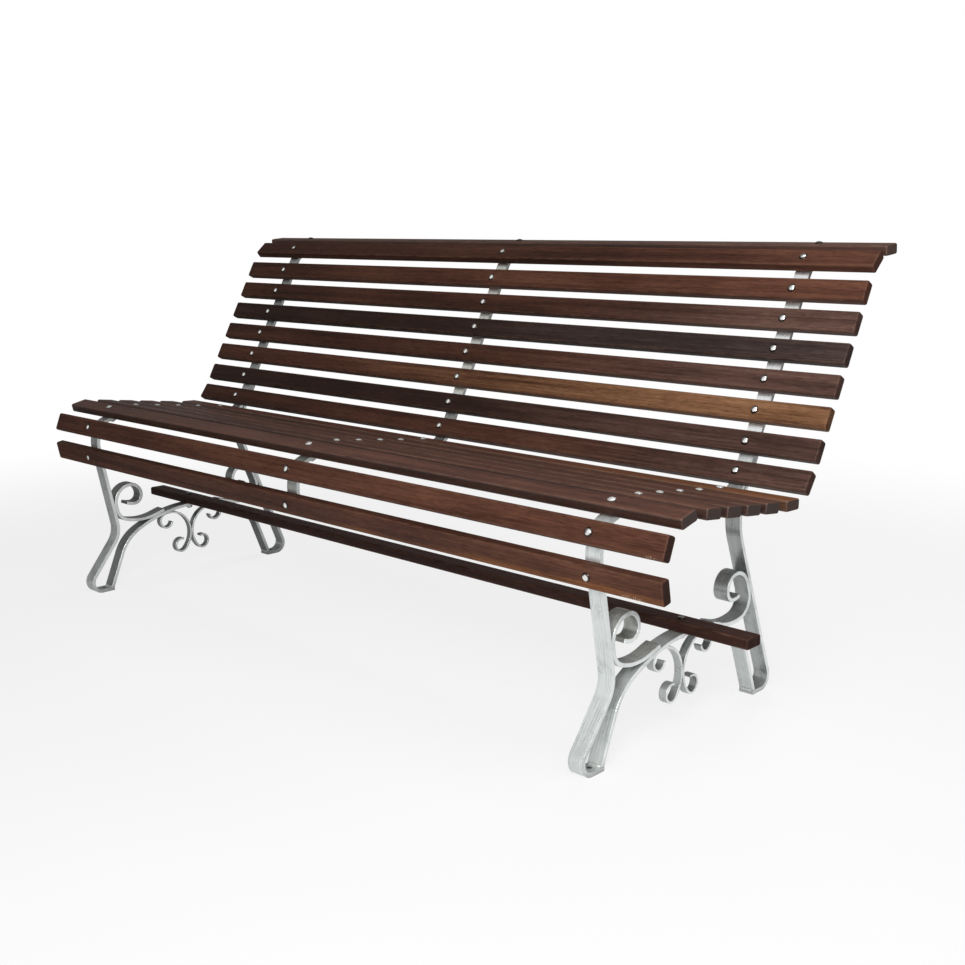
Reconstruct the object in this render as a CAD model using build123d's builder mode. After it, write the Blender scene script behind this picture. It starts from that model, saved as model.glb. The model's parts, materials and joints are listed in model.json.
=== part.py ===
"""Garden bench: hardwood slats bolted to galvanised flat-bar frames with forged scrolls.

Millimetres. +X runs along the bench to its right end, +Y to its back, +Z up.
The origin lies on the ground under the middle of the bench's box.
"""
import os
from math import acos, asin, atan2, cos, degrees, radians, sin, sqrt, tan

from build123d import *

os.makedirs("parts", exist_ok=True)

# Bench length, and how far the slats reach past the end frames
slat_length = 1800
slat_overhang = 146

# Hardwood slats, all cut from one section
slat_width = 42
slat_thickness = 20
slat_edge_chamfer = 3.5

# Flat bar of the frames and of the small ornament
bar_width = 30
bar_thickness = 8
ornament_width = 16
ornament_thickness = 5

# Coach bolts and nuts, kept to few faces because they repeat
bolt_shank_width = 7
bolt_hole_clearance = 0.6
bolt_head_diameter = 16
bolt_head_height = 4
bolt_head_sides = 8
bolt_end_length = 2.5
nut_across_flats = 13
nut_height = 6.5
nut_bore_clearance = 0.2
anchor_hole_diameter = 9

# Side profile of the seat bar: run lengths between the corners of its slat face
lip_height = 434.4
seat_run = 354
back_run = 483.5
rail_run = 61
lip_run = 53
apron_run = 50.7
knee_height = 139.2

# Side profile of the seat bar: angles in degrees
seat_slope = 6.5
back_recline = 27.5
rail_rise = 6
lip_slope = 19
apron_recline = 15
leg_lean = 11.5
shin_angle = 37.2

# Side profile of the seat bar: bend radii on its slat face
rail_bend = 76
seat_back_bend = 80
lip_bend = 80
roll_bend = 40
apron_bend = 100
knee_bend = 54
toe_bend = 27

# Slat places along the bar, from its upper end and from the ends of its bends
rail_inset = 16
first_back_inset = 28
last_back_inset = 10.4
rear_seat_inset = 6.9
seat_rear_gap = 69.4
seat_front_gap = 66
front_seat_inset = 7.5
upper_apron_inset = 4
lower_apron_drop = 6.5
back_slat_count = 8
seat_slat_count = 6
middle_bar_tail = 16
straight_rate = 0.0005

# Foot plates and rear legs
foot_plate_length = 32
waist_drop = 67.5
rear_leg_bend = 103
rear_leg_tail = 16

# Arch between the feet, on its upper face
arch_half_span = 233
arch_foot_angle = 68
crown_height = 184
crown_radius = 338
shoulder_radius = 108

# Large scrolls, on their outer face
tail_end_angle = 14
tail_lift_angle = 18
sweep_radius = 140
heel_radius = 38
scroll_contact_length = 10
rear_scroll_contact_length = 18
volute_outer_radius = 45
volute_middle_radius = 33
volute_inner_radius = 23
volute_end_radius = 60
volute_end_angle = 22

# Small C-scrolls under the arch, on their outer face
c_spine_radius = 62
c_spine_drop = 45.5
c_lower_curl_radius = 19
c_lower_curl_angle = 250
c_upper_curl_radius = 21
c_upper_curl_angle = 150
c_upper_end_radius = 18
c_upper_end_angle = 100


def along(angle):
    """Unit vector in the side profile at an angle above the rearward direction."""
    return Vector(cos(radians(angle)), sin(radians(angle)))


def corner_tangent(radius, turn):
    """Length that a bend of this radius takes from each run at its corner."""
    return radius * tan(radians(turn / 2))


def meeting(point, direction, other_point, other_direction):
    """Point where two straight lines of the side profile meet."""
    gap = other_point - point
    cross = direction.X * other_direction.Y - direction.Y * other_direction.X
    return point + direction * ((gap.X * other_direction.Y - gap.Y * other_direction.X) / cross)


def touching_centre(point, angle, radius, other_centre, distance, way):
    """Centre of a circle right of a line, a set distance from another centre; way is 1 or -1 along it."""
    start = point + along(angle - 90) * radius - other_centre
    advance = start.dot(along(angle))
    spread = sqrt(advance**2 - start.dot(start) + distance**2)
    return other_centre + start + along(angle) * (way * spread - advance)


def reach(heading, moves):
    """Displacement of a chain of moves, each a straight run or a right-hand arc."""
    end = Vector(0, 0)
    for radius, amount in moves:
        chord = 2 * radius * sin(radians(abs(amount) / 2)) if radius else amount
        turn = amount if radius else 0
        end += along(heading - turn / 2) * chord
        heading -= turn
    return end


def walk(start, heading, moves):
    """Draw a chain of moves and return its end: (0, length) runs straight, (radius, degrees) turns right."""
    for radius, amount in moves:
        if radius:
            JernArc(start, along(heading), radius, -amount)
        else:
            Line(start, start + along(heading) * amount)
        start = start + reach(heading, [(radius, amount)])
        heading -= amount if radius else 0
    return start


def walk_bar(start, heading, moves, thickness):
    """Draw a bar whose outer face follows the moves and whose body lies on their right."""
    inner_moves = []
    for radius, amount in moves:
        inward = thickness if amount > 0 else -thickness
        inner_moves.append((radius - inward if radius else 0, amount))
    inner_start = start + along(heading - 90) * thickness
    Line(start, inner_start)
    Line(walk(start, heading, moves), walk(inner_start, heading, inner_moves))


def bend_bar(points, radii, thickness):
    """Draw a bar whose outer face follows a bent line and whose body lies on its right."""
    FilletPolyline(*points, radius=radii)
    offset(amount=thickness, side=Side.RIGHT)


# Corners of the seat bar's slat face, first with its lip corner above y = 0
up_back = 90 - back_recline
up_apron = 90 - apron_recline
up_leg = 90 + leg_lean
up_shin = 90 - shin_angle
lip_corner = Vector(0, lip_height)
seat_corner = lip_corner + along(-seat_slope) * seat_run
rail_corner = seat_corner + along(up_back) * back_run
rail_end = rail_corner + along(rail_rise) * rail_run
roll_corner = lip_corner - along(lip_slope) * lip_run
apron_corner = roll_corner - along(up_apron) * apron_run
knee_corner = apron_corner - along(up_leg) * ((apron_corner.Y - knee_height) / along(up_leg).Y)
toe_corner = knee_corner - along(up_shin) * (knee_height / along(up_shin).Y)
toe_turn = 180 - up_shin
toe_centre_y = toe_corner.X + corner_tangent(toe_bend, toe_turn)

# The toe and the top rail bound the depth, and the origin goes midway between them
rail_seat = rail_end - along(rail_rise) * rail_inset
rail_rear_y = rail_seat.X + slat_width / 2 * along(rail_rise).X - slat_edge_chamfer * along(rail_rise).Y
to_middle = Vector(-(toe_centre_y - toe_bend + rail_rear_y) / 2, 0)
rail_end += to_middle
rail_corner += to_middle
seat_corner += to_middle
lip_corner += to_middle
roll_corner += to_middle
apron_corner += to_middle
knee_corner += to_middle
toe_corner += to_middle
toe_centre_y += to_middle.X

# Front foot plate, arch and rear foot plate follow one another on the ground
front_plate_end = toe_centre_y + foot_plate_length
arch_axis = front_plate_end + arch_half_span
rear_plate_end = arch_axis + arch_half_span
rear_toe_centre_y = rear_plate_end + foot_plate_length
arch_foot_depth = bar_thickness / sin(radians(arch_foot_angle))
anchor_inset = (foot_plate_length - arch_foot_depth) / 2
anchor_ys = (toe_centre_y + anchor_inset, rear_toe_centre_y - anchor_inset)

# Frames stand at these places along the bench
frame_reach = slat_length / 2 - slat_overhang
end_frames = {"left": -frame_reach, "right": frame_reach}
middle_x = 0
all_frame_xs = (*end_frames.values(), middle_x)


def profile_plane(x):
    """Side profile plane of a frame, drawn with y to the right and z up."""
    return Plane(origin=(x, 0, 0), x_dir=(0, 1, 0), z_dir=(1, 0, 0))


def mirrored_plane(x):
    """The same side profile seen from its other side, drawn with -y to the right."""
    return Plane(origin=(x, 0, 0), x_dir=(0, -1, 0), z_dir=(-1, 0, 0))


# Slat face of the seat bar, from the ground up to the rail
bar_corners = [toe_corner, knee_corner, apron_corner, roll_corner, lip_corner, seat_corner, rail_corner]
bar_bends = [toe_bend, knee_bend, apron_bend, roll_bend, lip_bend, seat_back_bend, rail_bend]
with BuildLine() as slat_face:
    FilletPolyline(Vector(front_plate_end, 0), *bar_corners, rail_end, radius=bar_bends)
face_wire = slat_face.wires()[0]


def station(distance):
    """Point, uphill direction and outward direction on the slat face, by distance from its upper end."""
    place = face_wire.length - distance
    point = face_wire.position_at(place, position_mode=PositionMode.LENGTH)
    uphill = face_wire.tangent_at(place, position_mode=PositionMode.LENGTH)
    return point, uphill, Vector(-uphill.Y, uphill.X)


# Where each bend of the slat face starts and ends, by distance from its upper end
bend_list = [
    ("rail", rail_run, rail_bend, up_back - rail_rise),
    ("seat_back", back_run, seat_back_bend, up_back + seat_slope),
    ("lip", seat_run, lip_bend, seat_slope + lip_slope),
    ("roll", lip_run, roll_bend, up_apron - lip_slope),
    ("apron", apron_run, apron_bend, up_leg - up_apron),
]
bend_starts = {}
bend_ends = {}
place = 0
for bend, run, radius, turn in bend_list:
    place += run - corner_tangent(radius, turn)
    bend_starts[bend] = place
    bend_ends[bend] = place + radius * radians(turn)
    place = bend_ends[bend] - corner_tangent(radius, turn)

# Each slat's distance from the upper end of the bar
stations = {"top_rail": rail_inset}
first_back = bend_ends["rail"] - first_back_inset
last_back = bend_starts["seat_back"] + last_back_inset
back_pitch = (last_back - first_back) / (back_slat_count - 1)
for number in range(back_slat_count):
    stations[f"back_slat_{number + 1}"] = first_back + number * back_pitch
lowest_back_slat = f"back_slat_{back_slat_count}"
tied_back_slat = f"back_slat_{back_slat_count - 1}"
first_seat = bend_ends["lip"] - front_seat_inset
last_seat = bend_ends["seat_back"] - rear_seat_inset
seat_pitch = (first_seat - seat_front_gap - last_seat - seat_rear_gap) / (seat_slat_count - 3)
stations["seat_slat_1"] = first_seat
for number in range(seat_slat_count - 2):
    stations[f"seat_slat_{number + 2}"] = first_seat - seat_front_gap - number * seat_pitch
stations[f"seat_slat_{seat_slat_count}"] = last_seat
stations["apron_slat_upper"] = bend_ends["roll"] - upper_apron_inset
stations["apron_slat_lower"] = bend_ends["apron"] + lower_apron_drop

# A turning rate is in radians per millimetre, positive where the slat face is hollow
def turning(place, half_width, choose):
    """Greatest or least turning rate of the slat face under a piece of this half width."""
    rates = []
    for offset_along in (-half_width, 0, half_width):
        below = station(place + offset_along + 0.5)[1]
        above = station(place + offset_along - 0.5)[1]
        rates.append(asin(below.cross(above).Z))
    return choose(rates)


def edge_lift(radius, half_width):
    """Clearance under the middle of a flat piece that rests on its edges in a round hollow."""
    return radius - sqrt(radius**2 - half_width**2)


def slat_lift(place):
    """Clearance under a slat, which rests on its edges where the bar is hollow."""
    rate = turning(place, slat_width / 2, max)
    if rate < straight_rate:
        return 0
    return edge_lift(1 / rate, slat_width / 2 - slat_edge_chamfer)


def nut_lift(place):
    """Clearance over a nut, which rests on its flats in the hollow side of a bent bar."""
    rate = -turning(place, nut_across_flats / 2, min)
    if rate < straight_rate:
        return 0
    return edge_lift(1 / rate - bar_thickness, nut_across_flats / 2)


lifts = {name: slat_lift(place) for name, place in stations.items()}
bolt_hole_width = bolt_shank_width + bolt_hole_clearance


def seat_frame(name):
    """Plane on the bar under a slat: x uphill along the bar, y outward, z along the bench."""
    point, uphill, outward = station(stations[name])
    return Plane(origin=(0, point.X, point.Y), x_dir=(0, uphill.X, uphill.Y), z_dir=(1, 0, 0))


def bolt_plane(name, x):
    """Plane under a slat's bolt at one frame, its z axis pointing out through the slat."""
    point, uphill, outward = station(stations[name])
    return Plane(origin=(x, point.X, point.Y), x_dir=(1, 0, 0), z_dir=(0, outward.X, outward.Y))


def save(part, name):
    """Label a finished piece and write it."""
    part.label = name
    export_step(part, f"parts/{name}.step")


def make_slat(frame, lift, hole_xs):
    """One slat with eased edges lying on a frame plane, with a square hole at each support."""
    with BuildPart() as slat:
        with BuildSketch(frame.offset(-slat_length / 2)) as section:
            with Locations((0, lift + slat_thickness / 2)):
                Rectangle(slat_width, slat_thickness)
            chamfer(section.vertices(), slat_edge_chamfer)
        extrude(amount=slat_length)
        for x in hole_xs:
            with BuildSketch(Plane(frame.origin + Vector(x, 0, 0), x_dir=(1, 0, 0), z_dir=frame.y_dir)):
                Rectangle(bolt_hole_width, bolt_hole_width)
            extrude(amount=lift + slat_thickness, mode=Mode.SUBTRACT)
    return slat.part


def make_bar(plane, draw_outline, width, bolt_holes=(), anchor_holes=(), floor=None):
    """Flat bar from its drawn outline, with square bolt holes and round anchor holes."""
    with BuildPart() as bar:
        with BuildSketch(plane):
            with BuildLine():
                draw_outline()
            make_face()
        extrude(amount=width / 2, both=True)
        for hole in bolt_holes:
            with BuildSketch(hole):
                Rectangle(bolt_hole_width, bolt_hole_width)
            extrude(amount=2 * bar_thickness, both=True, mode=Mode.SUBTRACT)
        for hole in anchor_holes:
            with BuildSketch(hole):
                Circle(anchor_hole_diameter / 2)
            extrude(amount=2 * bar_thickness, both=True, mode=Mode.SUBTRACT)
        if floor is not None:
            split(bisect_by=floor, keep=Keep.TOP)
    return bar.part


# Hardwood slats on the seat bars
for name in stations:
    save(make_slat(seat_frame(name), lifts[name], all_frame_xs), name)

# Stretcher on the crowns of the two arches
stretcher_frame = Plane(origin=(0, arch_axis, crown_height), x_dir=(0, 1, 0), z_dir=(1, 0, 0))
save(make_slat(stretcher_frame, 0, end_frames.values()), "stretcher")


def draw_end_bar():
    """Foot plate, front leg, roll, seat and back."""
    bend_bar([Vector(front_plate_end, 0), *bar_corners, rail_end], bar_bends, bar_thickness)


def draw_middle_bar():
    """The same bar cut off behind the lower apron slat."""
    tail = station(stations["apron_slat_lower"] + middle_bar_tail)[0]
    bend_bar([tail, *bar_corners[2:], rail_end], bar_bends[2:], bar_thickness)


# Seat bars
middle_holes = [bolt_plane(name, middle_x) for name in stations]
save(make_bar(profile_plane(middle_x), draw_middle_bar, bar_width, middle_holes), "middle_support")
for side, x in end_frames.items():
    holes = [bolt_plane(name, x) for name in stations]
    anchors = [Plane(origin=(x, anchor_ys[0], 0))]
    save(make_bar(profile_plane(x), draw_end_bar, bar_width, holes, anchors), f"{side}_seat_bar")


def flip(point):
    """The same point as drawn on a mirrored plane."""
    return Vector(-point.X, point.Y)


# Rear leg, on its rear face: it lies on the seat bar's back behind the two lowest back slats
two_bars = 2 * bar_thickness
low_point, low_uphill, low_outward = station(stations[lowest_back_slat])
tied_point, tied_uphill, tied_outward = station(stations[tied_back_slat])
low_tie = low_point - low_outward * two_bars
high_tie = tied_point - tied_outward * two_bars
waist_corner = low_tie - low_uphill * waist_drop
back_corner = meeting(low_tie, low_uphill, high_tie, tied_uphill)
rear_leg_end = high_tie + tied_uphill * rear_leg_tail

# Below the waist the leg runs straight to the rear toe, which sets its lean
from_toe = waist_corner - Vector(rear_toe_centre_y, toe_bend)
rear_leg_lean = degrees(atan2(from_toe.Y, from_toe.X) - acos(toe_bend / from_toe.length))
rear_toe_corner = Vector(rear_toe_centre_y + corner_tangent(toe_bend, 90 + rear_leg_lean), 0)
rear_leg_points = [Vector(rear_plate_end, 0), rear_toe_corner, waist_corner, back_corner, rear_leg_end]
rear_leg_bends = [toe_bend, rear_leg_bend, seat_back_bend + two_bars]


def draw_rear_leg():
    """Foot plate, toe, leg and the length behind the back."""
    bend_bar([flip(point) for point in rear_leg_points], rear_leg_bends, bar_thickness)


for side, x in end_frames.items():
    holes = [bolt_plane(name, x).offset(-bar_thickness) for name in (tied_back_slat, lowest_back_slat)]
    anchors = [Plane(origin=(x, anchor_ys[1], 0))]
    save(make_bar(mirrored_plane(x), draw_rear_leg, bar_width, holes, anchors), f"{side}_rear_leg")

# Arch, on its upper face, standing on the two foot plates: foot, shoulder, crown, shoulder and foot
crown_centre = Vector(arch_axis, crown_height - crown_radius)
arch_foot = Vector(arch_axis - arch_half_span - arch_foot_depth, bar_thickness)
shoulder_gap = crown_radius - shoulder_radius
shoulder_centre = touching_centre(
    arch_foot, arch_foot_angle, shoulder_radius, crown_centre, shoulder_gap, 1
)
to_shoulder = shoulder_centre - crown_centre
crown_half_angle = degrees(atan2(to_shoulder.Y, to_shoulder.X)) - 90
foot_straight = (shoulder_centre - arch_foot).dot(along(arch_foot_angle))
shoulder_turn = arch_foot_angle - crown_half_angle


def draw_arch():
    """Arch with its feet run on below the foot plates' tops, where they are cut level."""
    foot = (0, foot_straight + bar_thickness)
    shoulder = (shoulder_radius, shoulder_turn)
    moves = [foot, shoulder, (crown_radius, 2 * crown_half_angle), shoulder, foot]
    walk_bar(arch_foot - along(arch_foot_angle) * bar_thickness, arch_foot_angle, moves, bar_thickness)


for side, x in end_frames.items():
    crown_hole = Plane(origin=(x, arch_axis, crown_height))
    plate_top = Plane.XY.offset(bar_thickness)
    save(make_bar(profile_plane(x), draw_arch, bar_width, [crown_hole], floor=plate_top), f"{side}_arch")


def scroll_drawing(centre, leg_point, leg_angle, contact_length):
    """Drawing of a large scroll: tail on the arch, sweep, heel against the leg, volute."""
    sweep_centre = centre + along(90 + tail_lift_angle) * (crown_radius + sweep_radius)
    heel_gap = sweep_radius - heel_radius
    to_heel = touching_centre(leg_point, leg_angle, heel_radius, sweep_centre, heel_gap, -1) - sweep_centre
    heel_angle = degrees(atan2(to_heel.Y, to_heel.X)) % 360
    moves = [
        (crown_radius, tail_end_angle - tail_lift_angle),
        (sweep_radius, 270 + tail_lift_angle - heel_angle),
        (heel_radius, heel_angle - 90 - leg_angle),
        (0, contact_length),
        (volute_outer_radius, leg_angle),
        (volute_middle_radius, 90),
        (volute_inner_radius, 90),
        (volute_end_radius, volute_end_angle),
    ]
    start = centre + along(90 + tail_end_angle) * crown_radius

    def draw():
        walk_bar(start, 180 + tail_end_angle, moves, bar_thickness)

    return draw


# Large scrolls between the legs and the arch
front_contact = apron_corner + along(leg_lean) * bar_thickness
draw_front_scroll = scroll_drawing(crown_centre, front_contact, 90 + leg_lean, scroll_contact_length)
rear_contact = flip(rear_toe_corner - along(rear_leg_lean) * bar_thickness)
draw_rear_scroll = scroll_drawing(
    flip(crown_centre), rear_contact, 90 - rear_leg_lean, rear_scroll_contact_length
)
for side, x in end_frames.items():
    save(make_bar(profile_plane(x), draw_front_scroll, bar_width), f"{side}_front_scroll")
    save(make_bar(mirrored_plane(x), draw_rear_scroll, bar_width), f"{side}_rear_scroll")

# C-scrolls: the spine touches the arch's axis, and its top touches the arch from below
under_radius = crown_radius - bar_thickness - c_spine_radius
touch_angle = degrees(asin(c_spine_radius / under_radius))
spine_rise = sqrt(under_radius**2 - c_spine_radius**2)
spine_centre_height = crown_height - crown_radius + spine_rise


def c_scroll_drawing(axis_y):
    """Drawing of a C-scroll on the right of the arch's axis, from its lower end to its upper end."""
    lower_moves = [(c_lower_curl_radius, c_lower_curl_angle)]
    upper_moves = [
        (c_spine_radius, c_spine_drop + 90 + touch_angle),
        (c_upper_curl_radius, c_upper_curl_angle),
        (c_upper_end_radius, c_upper_end_angle),
    ]
    heading = 90 + c_spine_drop + c_lower_curl_angle
    spine_centre = Vector(axis_y + c_spine_radius, spine_centre_height)
    spine_low = spine_centre + along(180 + c_spine_drop) * c_spine_radius

    def draw():
        start = spine_low - reach(heading, lower_moves)
        walk_bar(start, heading, lower_moves + upper_moves, ornament_thickness)

    return draw


draw_rear_c = c_scroll_drawing(arch_axis)
draw_front_c = c_scroll_drawing(-arch_axis)
for side, x in end_frames.items():
    save(make_bar(profile_plane(x), draw_rear_c, ornament_width), f"{side}_rear_c_scroll")
    save(make_bar(mirrored_plane(x), draw_front_c, ornament_width), f"{side}_front_c_scroll")


def make_bolt(grip):
    """Coach bolt whose domed head stands on z = 0, long enough for its nut below the grip."""
    head_radius = bolt_head_diameter / 2
    shoulder = (bolt_head_height * 0.6, head_radius * 0.8)
    dome_steps = [(0, head_radius), shoulder, (bolt_head_height, head_radius * 0.4)]
    with BuildPart() as bolt:
        for height, radius in dome_steps:
            with BuildSketch(Plane.XY.offset(height)):
                RegularPolygon(radius, bolt_head_sides)
        loft(ruled=True)
        with BuildSketch():
            Rectangle(bolt_shank_width, bolt_shank_width)
        extrude(amount=-(grip + nut_height + bolt_end_length))
    return bolt.part


# Hexagon nut whose bearing face lies on z = 0
with BuildPart() as nut:
    with BuildSketch():
        RegularPolygon(nut_across_flats / 2, 6, major_radius=False)
        bore_width = bolt_shank_width + nut_bore_clearance
        Rectangle(bore_width, bore_width, mode=Mode.SUBTRACT)
    extrude(amount=-nut_height)


def save_fasteners(zone, fixings):
    """Write a zone's bolts and nuts; a fixing is its plane, slat lift, nut lift and number of bars."""
    with BuildPart() as bolts:
        for plane, lift, gap, bars in fixings:
            bolt = make_bolt(lift + slat_thickness + bars * bar_thickness + gap)
            with Locations(plane.offset(lift + slat_thickness)):
                add(bolt)
    with BuildPart() as nuts:
        for plane, lift, gap, bars in fixings:
            with Locations(plane.offset(-bars * bar_thickness - gap)):
                add(nut.part)
    save(bolts.part, f"{zone}_bolts")
    save(nuts.part, f"{zone}_nuts")


# Fasteners: one at every slat and frame, through the rear leg as well where it is tied in
for zone in ("top_rail", "back", "seat", "apron"):
    fixings = []
    for name in [name for name in stations if name.startswith(zone)]:
        for x in all_frame_xs:
            bars = 2 if name in (tied_back_slat, lowest_back_slat) and x != middle_x else 1
            fixings.append((bolt_plane(name, x), lifts[name], nut_lift(stations[name]), bars))
    save_fasteners(zone, fixings)
crown_gap = edge_lift(crown_radius - bar_thickness, nut_across_flats / 2)
crown_fixings = [(Plane(origin=(x, arch_axis, crown_height)), 0, crown_gap, 1) for x in end_frames.values()]
save_fasteners("stretcher", crown_fixings)
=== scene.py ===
"""Looks of a slatted garden bench: oiled hardwood slats on hot-dip galvanised scrolled end frames."""

import json
import logging
import math
import random
from dataclasses import dataclass, field
from enum import Enum
from functools import partial
from typing import ClassVar, Iterable, Sequence, Union

import bmesh
import bpy
import numpy as np
from mathutils import Matrix, Vector

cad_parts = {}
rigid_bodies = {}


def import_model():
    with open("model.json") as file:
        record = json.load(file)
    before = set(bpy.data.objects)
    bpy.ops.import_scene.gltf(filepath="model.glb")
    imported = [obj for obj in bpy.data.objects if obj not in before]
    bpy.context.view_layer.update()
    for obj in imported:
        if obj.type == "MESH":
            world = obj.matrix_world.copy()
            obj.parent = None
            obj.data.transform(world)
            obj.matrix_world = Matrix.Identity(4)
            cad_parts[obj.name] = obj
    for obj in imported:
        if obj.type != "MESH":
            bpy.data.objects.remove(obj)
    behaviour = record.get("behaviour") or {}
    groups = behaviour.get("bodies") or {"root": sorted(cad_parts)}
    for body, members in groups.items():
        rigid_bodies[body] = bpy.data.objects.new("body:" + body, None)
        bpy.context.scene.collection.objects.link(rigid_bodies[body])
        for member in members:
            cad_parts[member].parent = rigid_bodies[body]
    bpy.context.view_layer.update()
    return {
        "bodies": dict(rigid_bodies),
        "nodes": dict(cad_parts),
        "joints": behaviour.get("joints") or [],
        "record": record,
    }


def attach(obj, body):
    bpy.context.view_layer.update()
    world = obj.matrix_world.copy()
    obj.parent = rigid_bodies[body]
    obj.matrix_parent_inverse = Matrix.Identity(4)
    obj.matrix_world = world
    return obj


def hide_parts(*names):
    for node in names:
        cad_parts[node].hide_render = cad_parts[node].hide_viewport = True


LOG = logging.getLogger("bench")
BODY = "root"
MILLIMETRE = 0.001

# Points nearer than the first are one point; places read off a CAD node agree within the second, in metres,
# and are rounded to this many digits before they are counted
SAME_POINT = 1e-6
READ_MARGIN = 1e-5
ROUNDED_DIGITS = 6

# A bar's side face has at least this much of its normal along x
SIDEWAYS = 0.99

# Layer on the bolts' points: their distance from the axis as a share of the head's radius, which places
# the painted dark reflection round the rim
RIM_LAYER = "rim"

# The Mix node's sockets for colours, which share their names with those for numbers
MIX_FIRST, MIX_SECOND, MIX_RESULT = 6, 7, 2

Colour = tuple[float, float, float]
Profile = list[tuple[float, float]]
Ring = Sequence[tuple[float, float]]


def srgb(red: int, green: int, blue: int) -> Colour:
    """Linear colour of an 8-bit display colour.

    Args:
        red: Red level from 0 to 255.
        green: Green level from 0 to 255.
        blue: Blue level from 0 to 255.

    Returns:
        The three linear levels that a shader takes.
    """

    def linear(level: int) -> float:
        """One level from display to linear light."""
        share = level / 255
        return share / 12.92 if share <= 0.04045 else ((share + 0.055) / 1.055) ** 2.4

    return linear(red), linear(green), linear(blue)


class Slot(Enum):
    """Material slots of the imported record."""

    HARDWOOD = "hardwood"
    GALVANISED = "galvanised_bar"
    POLISHED = "polished_fastener"
    ZINC = "zinc_nut"


class Side(Enum):
    """The two end frames."""

    LEFT = "left"
    RIGHT = "right"


# Shader maths


Value = Union["Link", float, int, Sequence[float]]


class Link:
    """A node's output socket that takes part in Python expressions."""

    def __init__(self, graph: "ShaderGraph", socket: bpy.types.NodeSocket) -> None:
        """Keep the socket and the graph it belongs to."""
        self.graph = graph
        self.socket = socket

    def _math(self, operation: str, first: Value, second: Value) -> "Link":
        """Add one Math node on two values."""
        return self.graph.node("ShaderNodeMath", {"operation": operation}, {0: first, 1: second})

    def __add__(self, other: Value) -> "Link":
        """Sum of two values."""
        return self._math("ADD", self, other)

    def __radd__(self, other: Value) -> "Link":
        """Sum with a number on the left."""
        return self._math("ADD", other, self)

    def __sub__(self, other: Value) -> "Link":
        """Difference of two values."""
        return self._math("SUBTRACT", self, other)

    def __rsub__(self, other: Value) -> "Link":
        """Difference with a number on the left."""
        return self._math("SUBTRACT", other, self)

    def __mul__(self, other: Value) -> "Link":
        """Product of two values."""
        return self._math("MULTIPLY", self, other)

    def __rmul__(self, other: Value) -> "Link":
        """Product with a number on the left."""
        return self._math("MULTIPLY", other, self)

    def __abs__(self) -> "Link":
        """Value without its sign."""
        return self._math("ABSOLUTE", self, 0.0)

    def at_most(self, other: Value) -> "Link":
        """The lesser of two values."""
        return self._math("MINIMUM", self, other)

    def at_least(self, other: Value) -> "Link":
        """The greater of two values."""
        return self._math("MAXIMUM", self, other)


@dataclass(frozen=True)
class Grain:
    """One layer of noise: waves in a metre along each axis, finer layers, their share, bending and place."""

    scale: tuple[float, float, float]
    detail: float
    roughness: float
    warp: float = 0.0
    shift: tuple[float, float, float] = (0.0, 0.0, 0.0)


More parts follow.
